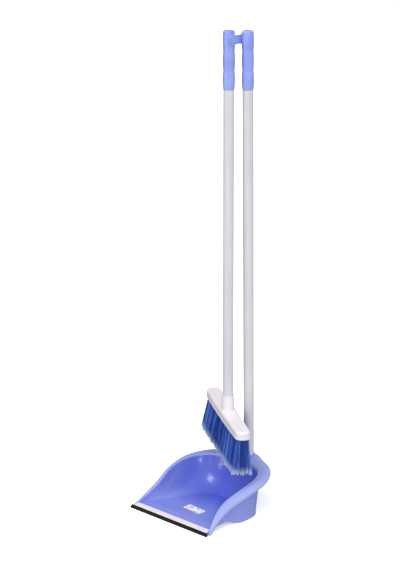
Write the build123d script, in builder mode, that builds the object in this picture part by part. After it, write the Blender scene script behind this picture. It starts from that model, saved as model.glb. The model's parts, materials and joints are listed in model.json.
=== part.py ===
"""Long-handled dust pan with its brush clipped beside it, stored standing up.

Millimetres, +Z up. The origin is on the floor under the pan's handle. The pan's mouth faces -Y,
and +X is to the right of someone who stands in front of the mouth.
"""

from build123d import *
from math import atan, cos, degrees, radians, sin, sqrt
import os

# ---------------------------------------------------------------- driving dimensions
OVERALL_HEIGHT = 999.0  # floor to the top of the pan's grip
TUBE_RADIUS = 11.0  # outside of the coated tube
COAT = 0.4  # plastic coat on the steel
STEEL_WALL = 0.5
SPIGOT_GAP = 0.05  # ferrule inside the tube, each side

MOUTH_HALF = 112.0  # half the width of the wiping lip
MOUTH_Y = -251.3  # tip of the wiping lip, measured from the handle's axis
PAN_WALL = 2.4
PAN_FLOOR = 9.0  # top of the pan's floor
RIM_BLOCK = 92.0  # height to which the walls are made before the rim is cut
FLANGE = 3.0  # thickness of the rim's flange
FLANGE_TURN = 9.5  # how far the flange's outer edge turns down
COLUMN_RADIUS = 14.5
COLUMN_FLOOR = 4.0  # closed bottom of the column
FLANGE_AT_TUBE = 76.0  # rim height where the handle stands
WEB = 3.0  # thickness of the web between heel and column
ARCH_HEIGHT = 11.0  # below the side walls
STRIP_HALF = 105.4  # half the length of the white lip strip

SOCKET_RADIUS = 10.2  # thread crest of both ferrules and of their sockets
THREAD_LENGTH = 26.0
THREAD_PITCH = 5.0
THREAD_TURNS = 4
SPIGOT_LENGTH = 32.0
COLLAR_RADIUS = 13.6
COLLAR_HIGH = 4.5

GRIP_LENGTH = 121.0
GRIP_BELLY = 12.6
GRIP_WAIST = 11.5
GRIP_CAP = 34.0  # solid top of a grip, above the end of its tube
CLIP_HEIGHT = 982.0  # axis of the link's pegs
GRIP_FLAT = 8.9  # the flat on each grip, measured from the grip's axis
LINK_DISC = 12.4
LINK_BAR_HALF = 9.0
LINK_THICK = 2.8
LINK_GAP = 0.3  # between the link and either flat
RECESS_RADIUS = 12.75  # round bottom of the grip's flat, where the link's bar comes to rest
PEG_RADIUS = 4.0
PEG_LENGTH = 12.0
PEG_HOLE_DEPTH = 14.0
PIN_HEAD = 7.5
PIN_SEAT = 1.4
RUNNING = 0.05  # radial clearance of a peg in its hole

HEAD_LENGTH = 296.0
HEAD_HALF = 18.0  # half the width of the brush head at its middle
HEAD_END_HALF = 15.6  # and near its ends
HEAD_TURN = -33.3  # the head is turned about its handle
HEAD_THICK = 17.0
COVER_WALL = 2.0
BASE_THICK = 8.5
BASE_LEDGE = 2.2  # the base's edge, outside and below the cover
BASE_GAP = 0.1  # all round, between the base and the inside of the cover
HEAD_SOCKET_RADIUS = 13.4
SOCKET_OVERLAP = 8.0  # length of tube inside the head's socket
BRISTLE_FREE = 79.0
TUFT_PITCH = 12.0
TUFT_ROWS = (-11.0, -5.5, 0.0, 5.5, 11.0)
TUFT_HOLE = 1.9
TUFT_NECK = 2.3  # just below its hole
TUFT_TIP = 3.2
TUFT_DEPTH = 7.0
ANCHOR_WIDE = 3.4
ANCHOR_THICK = 0.4
ANCHOR_HEIGHT = 2.0
SPLAY_ALONG = 1.09  # how far the tips spread, from the middle of the head
SPLAY_ACROSS = 1.7
TUFT_SET = 5.0  # the tips have taken a set towards the front of the head
TOP_ROUND = 6.0  # rounded shoulder of the head's cover

# ---------------------------------------------------------------- derived places
STEEL_RADIUS = TUBE_RADIUS - COAT
BORE_RADIUS = STEEL_RADIUS - STEEL_WALL
SPIGOT_RADIUS = BORE_RADIUS - SPIGOT_GAP
LINK_LOW = -(GRIP_FLAT + LINK_GAP + LINK_THICK)  # the link's face towards the brush
LINK_HIGH = -(GRIP_FLAT + LINK_GAP)  # and its face towards the pan's grip
BRUSH_X = LINK_LOW - LINK_GAP - GRIP_FLAT
BRUSH_Y = -33.4
BRUSH_LEAN = degrees(atan(9.2 / 760.0))  # the brush's foot hangs a little forward
HEAD_BASE = -810.0  # underside of the brush head, along its handle from the pegs
HEAD_TOP = HEAD_BASE + HEAD_THICK
SOCKET_TOP = HEAD_TOP + 32.0

BRUSH_AXIS = Plane(
    origin=(BRUSH_X, BRUSH_Y, CLIP_HEIGHT),
    x_dir=(1, 0, 0),
    z_dir=(0, sin(radians(BRUSH_LEAN)), cos(radians(BRUSH_LEAN))),
)
HEAD_AXIS = Plane(
    origin=BRUSH_AXIS.origin,
    x_dir=BRUSH_AXIS.x_dir.rotate(Axis((0, 0, 0), BRUSH_AXIS.z_dir), HEAD_TURN),
    z_dir=BRUSH_AXIS.z_dir,
)
PAN_AXIS = Plane.XY

# Right half of each plan outline, from the mouth to the middle of the back.
RIM_PLAN = ((112.5, -241), (104, -217), (98, -180), (104.5, -135), (101, -88), (80, -50), (45, -35), (0, -30))
FOOT_PLAN = ((112, -241), (106, -217), (105, -180), (112, -140), (107, -103), (86, -79), (42, -68), (0, -65))
FLOOR_PLAN = ((108, -241), (96, -218), (79, -190), (63, -160), (48, -130), (33, -108), (16, -96), (0, -93))
FLANGE_PLAN = ((113, -241), (107.5, -217), (106, -175), (116, -118), (108, -64), (82, -28), (46, -6), (20, 12), (0, 17))
# Height of the rim along the pan, and the slope of the floor behind the lip.
RIM_LINE = ((-241, 4), (-225, 15.5), (-197, 35), (-154, 57), (-113, 68), (-60, 74.5), (-18, FLANGE_AT_TUBE))
RIM_END = 30.0  # the rim is level from its last point to here
RAMP = ((-262, 1.8), (-244.6, 3.8), (-231.5, 6.0), (-212, PAN_FLOOR))
BLEND_STEPS = (0.0, 0.04, 0.16, 0.4, 0.7, 1.0)


def mirrored(points):
    """A right half outline and its mirror image, as one run of points round the back."""
    return [*points, *((-x, y) for x, y in reversed(points[:-1]))]


def inset(points, amount):
    """Moves a right half outline inwards, each point along its own normal."""
    moved = []
    for i, (x, y) in enumerate(points):
        before, after = points[max(i - 1, 0)], points[min(i + 1, len(points) - 1)]
        along = Vector(after[0] - before[0], after[1] - before[1]).normalized()
        if i == len(points) - 1:
            along = Vector(-1, 0)
        moved.append((x - amount * along.Y, y - amount * -along.X if i else y))
    return moved


def bowl_points(share, grow=0.0):
    """The cavity's outline at a share of its depth: it starts flat and ends steep."""
    spread = sqrt(share * (2 - share))
    rim = inset(RIM_PLAN, PAN_WALL)
    points = [(a + (c - a) * spread, b + (d - b) * spread) for (a, b), (c, d) in zip(FLOOR_PLAN, rim)]
    return [(points[0][0], MOUTH_Y - 10), *inset(points, -grow)]


def outline_sketch(points, height):
    """A closed plan outline: a smooth line round the back, and a straight mouth."""
    run = mirrored(points)
    with BuildSketch(Plane.XY.offset(height)) as sketch:
        with BuildLine():
            Spline(*run)
            Line(run[-1], run[0])
        make_face()
    return sketch.sketch


def bowl(grow=0.0):
    """The hollow that holds the dirt, or with grow the same hollow with its wall's thickness."""
    with BuildPart() as hollow:
        for share in BLEND_STEPS:
            height = PAN_FLOOR - grow + share * (RIM_BLOCK + 2 - PAN_FLOOR + grow)
            add(outline_sketch(bowl_points(share, grow), height))
        loft()
    return hollow.part


def ramp_cut(drop=0.0):
    """Everything above the sloping floor behind the lip, between the side walls."""
    with BuildPart() as wedge:
        with BuildSketch(Plane.YZ) as side:
            with BuildLine():
                Polyline(
                    *((y, z - drop) for y, z in RAMP),
                    (RAMP[-1][0], RIM_BLOCK),
                    (RAMP[0][0], RIM_BLOCK),
                    close=True,
                )
            make_face()
        extrude(amount=130, both=True)
        plan = inset(RIM_PLAN, PAN_WALL - drop)
        front = [(plan[0][0], RAMP[0][0] - 2), *plan]
        with BuildSketch(Plane.XY) as inside:
            add(outline_sketch(front, 0))
        extrude(inside.sketch, amount=RIM_BLOCK + 5, mode=Mode.INTERSECT)
    return wedge.part


def under_rim(drop):
    """The space below the rim's line, with the line lowered by drop."""
    with BuildPart() as space:
        with BuildSketch(Plane.YZ) as side:
            with BuildLine():
                Spline(*((y, z - drop) for y, z in RIM_LINE), tangents=((1, 0.6), (1, 0)))
                Polyline(
                    (RIM_LINE[-1][0], RIM_LINE[-1][1] - drop),
                    (RIM_END, RIM_LINE[-1][1] - drop),
                    (RIM_END, -20),
                    (RIM_LINE[0][0], -20),
                    (RIM_LINE[0][0], RIM_LINE[0][1] - drop),
                )
            make_face()
        extrude(amount=150, both=True)
    return space.part


def shell_between(low, high):
    """A loft from one plan outline on the floor to another at the rim."""
    with BuildPart() as block:
        add(outline_sketch(low, 0))
        add(outline_sketch(high, RIM_BLOCK))
        loft(ruled=True)
    return block.part


# ---------------------------------------------------------------- the pan
def rim_block(points, drop):
    """A plan outline filled from just below the rim's line upwards."""
    with BuildPart() as block:
        add(outline_sketch(points, 0))
        extrude(amount=RIM_BLOCK)
        add(under_rim(drop), mode=Mode.SUBTRACT)
    return block.part


def turned_edge():
    """The outer edge of the flange, turned down all round."""
    with BuildPart() as edge:
        add(rim_block(FLANGE_PLAN, FLANGE_TURN))
        with BuildSketch() as inner:
            add(outline_sketch(inset(FLANGE_PLAN, PAN_WALL), 0))
        extrude(inner.sketch, amount=RIM_BLOCK, mode=Mode.SUBTRACT)
    return edge.part


def skirt_hollow():
    """The open space inside the skirt, up to the flange."""
    with BuildPart() as hollow:
        add(shell_between(inset(FOOT_PLAN, PAN_WALL), inset(RIM_PLAN, PAN_WALL)))
        add(under_rim(FLANGE), mode=Mode.INTERSECT)
    return hollow.part


def floor_block():
    """The bowl and the sloping floor behind the lip, filled solid up to the rim."""
    with BuildPart() as block:
        add(bowl(PAN_WALL))
        add(ramp_cut(PAN_WALL))
        add(under_rim(0), mode=Mode.INTERSECT)
    return block.part


def side_arch():
    """The cut-out below both side walls, so that the pan stands on its lip and its heel."""
    with BuildPart() as arch:
        with BuildSketch(Plane.YZ) as side:
            with BuildLine():
                Polyline((-150, -1), (-236, -1))
                Spline((-236, -1), (-223, ARCH_HEIGHT), (-178, ARCH_HEIGHT), (-150, -1))
            make_face()
        extrude(amount=150, both=True)
    return arch.part


with BuildPart() as pan_body:
    add(shell_between(FOOT_PLAN, RIM_PLAN))
    add(rim_block(FLANGE_PLAN, FLANGE))
    add(turned_edge())
    Cylinder(COLUMN_RADIUS, FLANGE_AT_TUBE + 5, align=(Align.CENTER, Align.CENTER, Align.MIN))
    add(skirt_hollow(), mode=Mode.SUBTRACT)
    add(side_arch(), mode=Mode.SUBTRACT)
    # Web from the heel to the column, under the flange.
    with BuildSketch(Plane.YZ) as web_side:
        with BuildLine():
            Polyline((-64.5, 3), (-8, 3), (-8, 73), (-34, 73), close=True)
        make_face()
    extrude(amount=WEB / 2, both=True)
    add(floor_block())
    add(under_rim(0), mode=Mode.INTERSECT)
    add(bowl(), mode=Mode.SUBTRACT)
    add(ramp_cut(), mode=Mode.SUBTRACT)
    # Tongue at the mouth that the lip strip clips over.
    with BuildSketch(Plane.YZ) as tongue_side:
        with BuildLine():
            Polyline((-244.6, 1.4), (-244.6, 3.8), (-231.5, 6.0), (-231.5, 3.6), close=True)
        make_face()
    extrude(amount=STRIP_HALF, both=True)
    with Locations((0, 0, FLANGE_AT_TUBE + 5)):
        Hole(SOCKET_RADIUS, depth=FLANGE_AT_TUBE + 5 - COLUMN_FLOOR)


# The lip: a stiff strip with a soft blade moulded to its front edge.
with BuildPart() as lip_strip:
    with BuildSketch(Plane.YZ) as strip_side:
        with BuildLine():
            Polyline(
                (-246.4, 0.5),
                (-241.4, 0.5),
                (-241.4, 1.3),
                (-244.6, 1.3),
                (-244.6, 3.8),
                (-231.5, 6.0),
                (-231.5, 8.2),
                (-246.4, 6.6),
                close=True,
            )
        make_face()
    extrude(amount=STRIP_HALF, both=True)
    top_edges = lip_strip.edges().filter_by(Axis.X).group_by(Axis.Z)[-1]
    fillet(top_edges, radius=1.2)

with BuildPart() as lip_rubber:
    with BuildSketch(Plane.YZ) as rubber_side:
        with BuildLine():
            Polyline((-246.4, 6.6), (-246.4, 1.2), (-249.2, 0.0), (MOUTH_Y, 0.0), (MOUTH_Y, 0.9), close=True)
        make_face()
    extrude(amount=MOUTH_HALF, both=True)

with BuildPart() as floor_label:
    with BuildSketch(Plane.XY.offset(PAN_FLOOR)) as label_plan:
        with Locations(Location((9, -180), -4)):
            RectangleRounded(50, 21, 2)
    extrude(amount=0.2)


# ---------------------------------------------------------------- handles
def handle_side(axis):
    """The plane through a handle's axis, in which the profiles of its round parts are drawn."""
    return Plane(origin=axis.origin, x_dir=axis.x_dir, z_dir=-axis.y_dir)


def revolve_profile(axis, points):
    """A round part: its half profile, as (radius, height) points, turned about a handle's axis."""
    with BuildPart() as turned:
        with BuildSketch(handle_side(axis)) as half:
            with BuildLine():
                Polyline(*points, close=True)
            make_face()
        revolve(axis=Axis(axis.origin, axis.z_dir))
    return turned


def ring_tube(axis, outer, inner, low, high):
    """A round tube about a handle's axis."""
    return revolve_profile(axis, ((inner, low), (outer, low), (outer, high), (inner, high)))


def ferrule(axis, seat, collar, collar_high):
    """The plug at a tube's foot: thread ridges below, a collar, and a spigot inside the tube."""
    root, crest = SOCKET_RADIUS - 1.2, SOCKET_RADIUS
    ridges = []
    for turn in range(THREAD_TURNS):
        start = seat - THREAD_LENGTH + 3 + turn * THREAD_PITCH
        ridges += [(root, start), (crest, start + 1), (crest, start + 2), (root, start + 3)]
    points = [
        (0, seat - THREAD_LENGTH),
        (root, seat - THREAD_LENGTH),
        *ridges,
        (root, seat),
        (collar, seat),
        (collar, seat + collar_high),
        (SPIGOT_RADIUS, seat + collar_high),
        (SPIGOT_RADIUS, seat + collar_high + SPIGOT_LENGTH),
        (SPIGOT_RADIUS - 2, seat + collar_high + SPIGOT_LENGTH + 2),
        (0, seat + collar_high + SPIGOT_LENGTH + 2),
    ]
    return revolve_profile(axis, points)


def grip(axis, top, flat_side):
    """A hand grip with three swellings, a flat near its top and a peg hole through the flat."""
    foot, low_waist, high_waist = top - GRIP_LENGTH, top - 81.0, top - 42.0
    with BuildPart() as handle:
        with BuildSketch(handle_side(axis)) as half:
            with BuildLine():
                Line((STEEL_RADIUS, foot), (TUBE_RADIUS + 0.3, foot))
                ThreePointArc((TUBE_RADIUS + 0.3, foot), (GRIP_BELLY, foot + 20), (GRIP_WAIST, low_waist))
                ThreePointArc(
                    (GRIP_WAIST, low_waist), (GRIP_BELLY, (low_waist + high_waist) / 2), (GRIP_WAIST, high_waist)
                )
                ThreePointArc((GRIP_WAIST, high_waist), (GRIP_BELLY, top - 20), (GRIP_BELLY - 0.7, top - 3))
                ThreePointArc((GRIP_BELLY - 0.7, top - 3), (GRIP_BELLY - 1.5, top - 1), (GRIP_BELLY - 3.6, top))
                Polyline(
                    (GRIP_BELLY - 3.6, top),
                    (0, top),
                    (0, top - GRIP_CAP),
                    (STEEL_RADIUS, top - GRIP_CAP),
                    (STEEL_RADIUS, foot),
                )
            make_face()
        revolve(axis=Axis(axis.origin, axis.z_dir))
        pegs = axis.offset(CLIP_HEIGHT - axis.origin.Z)
        face = Plane(origin=pegs.origin + pegs.x_dir * flat_side * GRIP_FLAT, x_dir=pegs.y_dir, z_dir=pegs.x_dir)
        with BuildSketch(face) as recess:
            Circle(RECESS_RADIUS)
            Rectangle(2 * RECESS_RADIUS, 40, align=(Align.CENTER, Align.MIN))
        extrude(amount=10 * flat_side, mode=Mode.SUBTRACT)
        with BuildSketch(face) as peg_hole:
            Circle(PEG_RADIUS + RUNNING)
        extrude(amount=-PEG_HOLE_DEPTH * flat_side, mode=Mode.SUBTRACT)
    return handle


PAN_GRIP_TOP = OVERALL_HEIGHT
BRUSH_GRIP_TOP = PAN_GRIP_TOP + 2.0 - CLIP_HEIGHT  # from the pegs
PAN_TUBE_FOOT = FLANGE_AT_TUBE + COLLAR_HIGH
BRUSH_TUBE_FOOT = SOCKET_TOP - SOCKET_OVERLAP

pan_ferrule = ferrule(PAN_AXIS, FLANGE_AT_TUBE, COLLAR_RADIUS, COLLAR_HIGH)
pan_tube = ring_tube(PAN_AXIS, STEEL_RADIUS, BORE_RADIUS, PAN_TUBE_FOOT, PAN_GRIP_TOP - GRIP_CAP)
pan_tube_coat = ring_tube(PAN_AXIS, TUBE_RADIUS, STEEL_RADIUS, PAN_TUBE_FOOT, PAN_GRIP_TOP - GRIP_LENGTH)
pan_grip = grip(PAN_AXIS, PAN_GRIP_TOP, -1)

brush_ferrule = ferrule(BRUSH_AXIS, BRUSH_TUBE_FOOT - 1.5, TUBE_RADIUS - 0.3, 1.5)
brush_tube = ring_tube(BRUSH_AXIS, STEEL_RADIUS, BORE_RADIUS, BRUSH_TUBE_FOOT, BRUSH_GRIP_TOP - GRIP_CAP)
brush_tube_coat = ring_tube(BRUSH_AXIS, TUBE_RADIUS, STEEL_RADIUS, BRUSH_TUBE_FOOT, BRUSH_GRIP_TOP - GRIP_LENGTH)
brush_grip = grip(BRUSH_AXIS, BRUSH_GRIP_TOP, 1)


# ---------------------------------------------------------------- the link between the grips
def across(x):
    """A plane square to X, with its first axis along +Y and its second along +Z."""
    return Plane(origin=(x, 0, CLIP_HEIGHT), x_dir=(0, 1, 0), z_dir=(1, 0, 0))


with BuildPart() as grip_link:
    with BuildSketch(across(LINK_LOW)) as link_face:
        with Locations((0, 0), (BRUSH_Y, 0)):
            Circle(LINK_DISC)
        with Locations((BRUSH_Y / 2, 0)):
            Rectangle(-BRUSH_Y, 2 * LINK_BAR_HALF)
    extrude(amount=LINK_THICK)
    fillet(grip_link.edges().filter_by(GeomType.CIRCLE).group_by(Axis.X)[-1], radius=0.8)
    with BuildSketch(across(LINK_HIGH)) as pan_peg:
        Circle(PEG_RADIUS)
    extrude(amount=PEG_LENGTH)
    with BuildSketch(across(LINK_LOW)) as pin_hole:
        with Locations((BRUSH_Y, 0)):
            Circle(PEG_RADIUS + RUNNING)
    extrude(amount=LINK_THICK, mode=Mode.SUBTRACT)
    with BuildSketch(across(LINK_HIGH)) as pin_seat:
        with Locations((BRUSH_Y, 0)):
            Circle(PIN_HEAD + RUNNING)
    extrude(amount=-PIN_SEAT, mode=Mode.SUBTRACT)

with BuildPart() as link_pin:
    with BuildSketch(across(LINK_HIGH - PIN_SEAT)) as pin_head:
        with Locations((BRUSH_Y, 0)):
            Circle(PIN_HEAD)
    extrude(amount=PIN_SEAT + 0.3)
    chamfer(link_pin.edges().group_by(Axis.X)[-1], length=0.4)
    with BuildSketch(across(LINK_HIGH - PIN_SEAT)) as pin_stem:
        with Locations((BRUSH_Y, 0)):
            Circle(PEG_RADIUS)
    extrude(amount=-(PEG_LENGTH + LINK_THICK - PIN_SEAT))
    chamfer(link_pin.edges().group_by(Axis.X)[0], length=0.6)


# ---------------------------------------------------------------- the brush head
def head_half_width(x):
    """Half the head's width at a distance along it: widest at the handle."""
    return HEAD_HALF - (HEAD_HALF - HEAD_END_HALF) * (2 * x / HEAD_LENGTH) ** 2


def head_outline(height, grow):
    """The head's plan, a long oval with full round ends, grown or shrunk by a margin."""
    reach = HEAD_LENGTH / 2 - HEAD_END_HALF
    tip = HEAD_LENGTH / 2 + grow
    quarter = [(x, head_half_width(x) + grow) for x in (reach, reach / 2, 0)]
    side = [*quarter, *((-x, y) for x, y in reversed(quarter[:-1]))]
    far_side = [(-x, -y) for x, y in side]
    with BuildSketch(HEAD_AXIS.offset(height)) as plan:
        with BuildLine():
            Spline(*side)
            ThreePointArc(side[-1], (-tip, 0), far_side[0])
            Spline(*far_side)
            ThreePointArc(far_side[-1], (tip, 0), side[0])
        make_face()
    return plan.sketch


def tuft_places():
    """Where the tufts stand on the head: rows along it, every other row shifted by half a pitch."""
    rows = []
    for number, across_head in enumerate(TUFT_ROWS):
        reach = HEAD_LENGTH / 2 - 7 - 20 * (across_head / HEAD_HALF) ** 2
        count = int(2 * reach / TUFT_PITCH) + (1 if number % 2 == 0 else 0)
        first = -(count - 1) * TUFT_PITCH / 2
        rows.append([(first + k * TUFT_PITCH, across_head) for k in range(count)])
    return rows


ROWS = tuft_places()
ALL_TUFTS = [place for row in ROWS for place in row]

with BuildPart() as bristle_base:
    add(head_outline(HEAD_BASE, 0.7))
    extrude(amount=BASE_LEDGE)
    add(head_outline(HEAD_BASE, -COVER_WALL - BASE_GAP))
    extrude(amount=BASE_THICK)
    with BuildSketch(HEAD_AXIS.offset(HEAD_BASE)) as tuft_holes:
        with Locations(*ALL_TUFTS):
            Circle(TUFT_HOLE)
    extrude(amount=TUFT_DEPTH, mode=Mode.SUBTRACT)

with BuildPart() as head_cover:
    add(head_outline(HEAD_BASE + BASE_LEDGE, 0))
    extrude(amount=HEAD_THICK - BASE_LEDGE)
    top_rim = head_cover.edges().sort_by(lambda edge: -HEAD_AXIS.to_local_coords(edge.center()).Z)[:4]
    fillet(top_rim, radius=TOP_ROUND)
    add(head_outline(HEAD_BASE + BASE_LEDGE, -COVER_WALL))
    extrude(amount=HEAD_THICK - BASE_LEDGE - COVER_WALL - TOP_ROUND, mode=Mode.SUBTRACT)
    with BuildSketch(HEAD_AXIS.offset(HEAD_TOP - COVER_WALL - TOP_ROUND)) as socket_plan:
        Circle(HEAD_SOCKET_RADIUS)
    extrude(amount=SOCKET_TOP - HEAD_TOP + COVER_WALL + TOP_ROUND)
    with BuildSketch(HEAD_AXIS.offset(HEAD_TOP - COVER_WALL - TOP_ROUND)) as thread_bore:
        Circle(SOCKET_RADIUS)
    extrude(amount=SOCKET_TOP - HEAD_TOP + COVER_WALL + TOP_ROUND, mode=Mode.SUBTRACT)
    with BuildSketch(HEAD_AXIS.offset(BRUSH_TUBE_FOOT - 1.5)) as tube_bore:
        Circle(TUBE_RADIUS + 0.1)
    extrude(amount=SOCKET_OVERLAP + 1.5, mode=Mode.SUBTRACT)


def splayed(place):
    """The plane just below the head at a tuft, facing where the tuft's spread tip is."""
    x, y = place
    root = HEAD_AXIS.from_local_coords(Vector(x, y, HEAD_BASE - 0.4))
    spread = Vector(x * SPLAY_ALONG, y * SPLAY_ACROSS - TUFT_SET, HEAD_BASE - BRISTLE_FREE)
    tip = HEAD_AXIS.from_local_coords(spread)
    return Plane(origin=root, z_dir=tip - root)


def tuft_row(places):
    """One row of tufts: each a straight root in its hole, and a slim cone to its spread tip."""
    with BuildPart() as row:
        with BuildSketch(HEAD_AXIS.offset(HEAD_BASE + TUFT_DEPTH - ANCHOR_HEIGHT)) as roots:
            with Locations(*places):
                Circle(TUFT_HOLE)
        extrude(amount=-(TUFT_DEPTH - ANCHOR_HEIGHT + 2.0))
        with Locations(*(splayed(place) for place in places)):
            Cone(TUFT_NECK, TUFT_TIP, BRISTLE_FREE, align=(Align.CENTER, Align.CENTER, Align.MIN))
    return row


tuft_rows = [tuft_row(places) for places in ROWS]

with BuildPart() as tuft_anchors:
    with BuildSketch(HEAD_AXIS.offset(HEAD_BASE + TUFT_DEPTH - ANCHOR_HEIGHT)) as anchor_plan:
        with Locations(*ALL_TUFTS):
            Rectangle(ANCHOR_WIDE, ANCHOR_THICK)
    extrude(amount=ANCHOR_HEIGHT)


# ---------------------------------------------------------------- files
PIECES = {
    "pan_body": pan_body,
    "lip_strip": lip_strip,
    "lip_rubber": lip_rubber,
    "floor_label": floor_label,
    "pan_ferrule": pan_ferrule,
    "pan_tube": pan_tube,
    "pan_tube_coat": pan_tube_coat,
    "pan_grip": pan_grip,
    "grip_link": grip_link,
    "link_pin": link_pin,
    "brush_grip": brush_grip,
    "brush_tube": brush_tube,
    "brush_tube_coat": brush_tube_coat,
    "brush_ferrule": brush_ferrule,
    "head_cover": head_cover,
    "bristle_base": bristle_base,
    "tuft_anchors": tuft_anchors,
    **{f"bristle_row_{number}": row for number, row in enumerate(tuft_rows, start=1)},
}

os.makedirs("parts", exist_ok=True)
for name, piece in PIECES.items():
    piece.part.label = name
    export_step(piece.part, f"parts/{name}.step")
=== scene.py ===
"""Long-handled dust pan with its brush clipped beside it, dressed and lit.

Metres, +Z up. The origin is on the floor under the pan's handle and the pan's mouth faces -Y.
"""

import json
import logging
import math
from dataclasses import dataclass
from enum import Enum
from typing import Callable, Sequence

import bmesh
import bpy
from mathutils import Matrix, Vector

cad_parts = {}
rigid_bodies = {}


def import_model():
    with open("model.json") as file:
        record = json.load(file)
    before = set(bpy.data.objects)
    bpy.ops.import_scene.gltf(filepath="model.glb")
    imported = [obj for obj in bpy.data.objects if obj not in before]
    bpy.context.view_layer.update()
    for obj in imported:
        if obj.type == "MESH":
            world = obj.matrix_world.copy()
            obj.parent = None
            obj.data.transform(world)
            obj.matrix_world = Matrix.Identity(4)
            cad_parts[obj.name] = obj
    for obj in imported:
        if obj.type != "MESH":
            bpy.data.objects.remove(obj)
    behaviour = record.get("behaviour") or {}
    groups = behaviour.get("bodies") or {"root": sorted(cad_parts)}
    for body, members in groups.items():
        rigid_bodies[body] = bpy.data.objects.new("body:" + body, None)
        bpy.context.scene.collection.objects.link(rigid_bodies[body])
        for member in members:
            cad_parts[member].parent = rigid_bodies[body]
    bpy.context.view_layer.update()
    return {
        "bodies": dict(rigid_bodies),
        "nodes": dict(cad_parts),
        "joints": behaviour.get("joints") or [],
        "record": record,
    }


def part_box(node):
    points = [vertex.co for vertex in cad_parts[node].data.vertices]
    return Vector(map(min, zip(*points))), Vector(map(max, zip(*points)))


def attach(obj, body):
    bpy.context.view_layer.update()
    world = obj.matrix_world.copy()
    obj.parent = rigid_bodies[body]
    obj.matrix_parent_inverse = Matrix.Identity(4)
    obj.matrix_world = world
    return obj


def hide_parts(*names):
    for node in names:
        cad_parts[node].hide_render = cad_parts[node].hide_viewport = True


LOG = logging.getLogger("dust_pan_set")
MM = 0.001

Point2 = tuple[float, float]
Point3 = tuple[float, float, float]
Colour = tuple[float, float, float, float]
Feed = tuple[bpy.types.Node, str | int]
Inputs = dict[str | int, object]


# ------------------------------------------------------------------ names used throughout
class Body(Enum):
    """The rigid bodies of the frame that pieces ride on."""

    PAN = "pan"
    BRUSH = "brush"


class Slot(Enum):
    """Material slots of the record."""

    PAN = "pan_plastic"
    BRISTLE = "bristle_fibre"


class Effect(Enum):
    """Shader groups shared by several finishes."""

    MOULDED = "moulded_skin"
    WEAR = "handling_wear"


def linear(red: int, green: int, blue: int) -> Colour:
    """A linear RGBA colour from an 8-bit display colour."""

    def channel(value: int) -> float:
        """One channel, decoded."""
        share = value / 255
        return share / 12.92 if share <= 0.04045 else ((share + 0.055) / 1.055) ** 2.4

    return (channel(red), channel(green), channel(blue), 1.0)


# ------------------------------------------------------------------ node trees and shader groups
class Net:
    """Adds and links nodes in one node tree."""

    def __init__(self, tree: bpy.types.NodeTree) -> None:
        """Keeps the tree that nodes go into."""
        self.tree = tree

    def fill(self, node: bpy.types.Node, values: Inputs) -> None:
        """Sets a node's inputs, by socket name or number; a (node, socket) pair is linked."""
        for socket, value in values.items():
            if isinstance(value, tuple) and isinstance(value[0], bpy.types.Node):
                self.tree.links.new(value[0].outputs[value[1]], node.inputs[socket])
            else:
                node.inputs[socket].default_value = value

    def add(self, kind: str, values: Inputs | None = None, **settings: object) -> bpy.types.Node:
        """Adds a node.

        Args:
            kind: The node's type.
            values: Input names or numbers, with their values or (node, socket) pairs.
            settings: Attributes of the node itself.

        Returns:
            The new node.
        """
        node = self.tree.nodes.new(kind)
        for label, value in settings.items():
            setattr(node, label, value)
        self.fill(node, values or {})
        return node

    def maths(self, operation: str, *values: Feed | float) -> Feed:
        """The result of a math node."""
        return (self.add("ShaderNodeMath", dict(enumerate(values)), operation=operation), "Value")

    def mix_colour(self, first: Feed | Colour, second: Feed | Colour, share: Feed) -> Feed:
        """A colour mix.

        Args:
            first: The colour at share 0.
            second: The colour at share 1.
            share: Node and socket of the share.

        Returns:
            The mix node and its colour output.
        """
        return (self.add("ShaderNodeMix", {0: share, 6: first, 7: second}, data_type="RGBA"), 2)

    def share_of(self, value: Feed, low: float, high: float, top: float = 1.0) -> Feed:
        """A value's place between two limits, from 0 up to top."""
        span = {"Value": value, "From Min": low, "From Max": high, "To Max": top}
        return (self.add("ShaderNodeMapRange", span), "Result")

    def place(self) -> Feed:
        """Object coordinates."""
        return (self.add("ShaderNodeTexCoord"), "Object")

    def mapped(self, vector: Feed, **values: object) -> Feed:
        """A vector, moved and scaled."""
        return (self.add("ShaderNodeMapping", {"Vector": vector, **values}), "Vector")

    def noise(self, vector: Feed, scale: Feed | float, detail: float, **values: float) -> Feed:
        """Noise over a vector."""
        values = {"Vector": vector, "Scale": scale, "Detail": detail, **values}
        return (self.add("ShaderNodeTexNoise", values), "Fac")

    def attribute(self, name: str) -> Feed:
        """A number that the mesh carries."""
        return (self.add("ShaderNodeAttribute", attribute_name=name), "Fac")


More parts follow.
